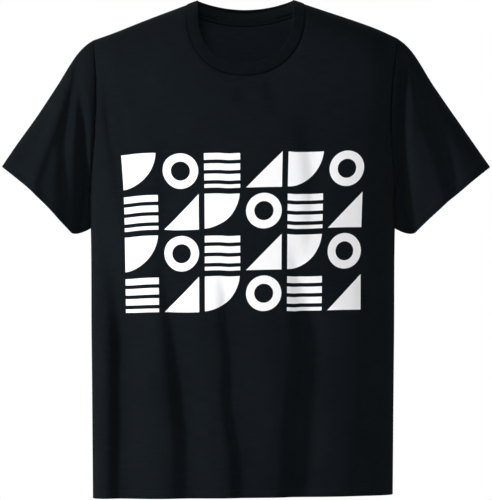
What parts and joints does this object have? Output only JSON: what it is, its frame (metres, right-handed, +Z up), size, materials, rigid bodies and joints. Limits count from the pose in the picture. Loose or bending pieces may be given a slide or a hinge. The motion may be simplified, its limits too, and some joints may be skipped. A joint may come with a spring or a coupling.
{
  "type": "short-sleeved t-shirt",
  "caption": "Short-sleeved crew-neck t-shirt of cotton jersey with a ribbed neck band, in the shape it has when worn.",
  "frame": {"origin": "midway between the shoulders, at the height where the neck band meets the shoulder seams: the point by which the wearer's shoulders carry the shirt", "axes": "+Z up, front of the shirt facing -Y, +X towards the wearer's left"},
  "size_m": [0.732, 0.2095, 0.7443],
  "materials": {
    "jersey": "fine single-jersey knit, matt",
    "rib_knit": "one by one rib knit, folded double",
    "tape": "self-fabric tape, flat"
  },
  "bodies": {
    "root": {"front_panel": "jersey", "back_panel": "jersey", "sleeve_left": "jersey", "sleeve_right": "jersey", "neck_rib": "rib_knit", "neck_tape": "tape"}
  },
  "joints": []
}
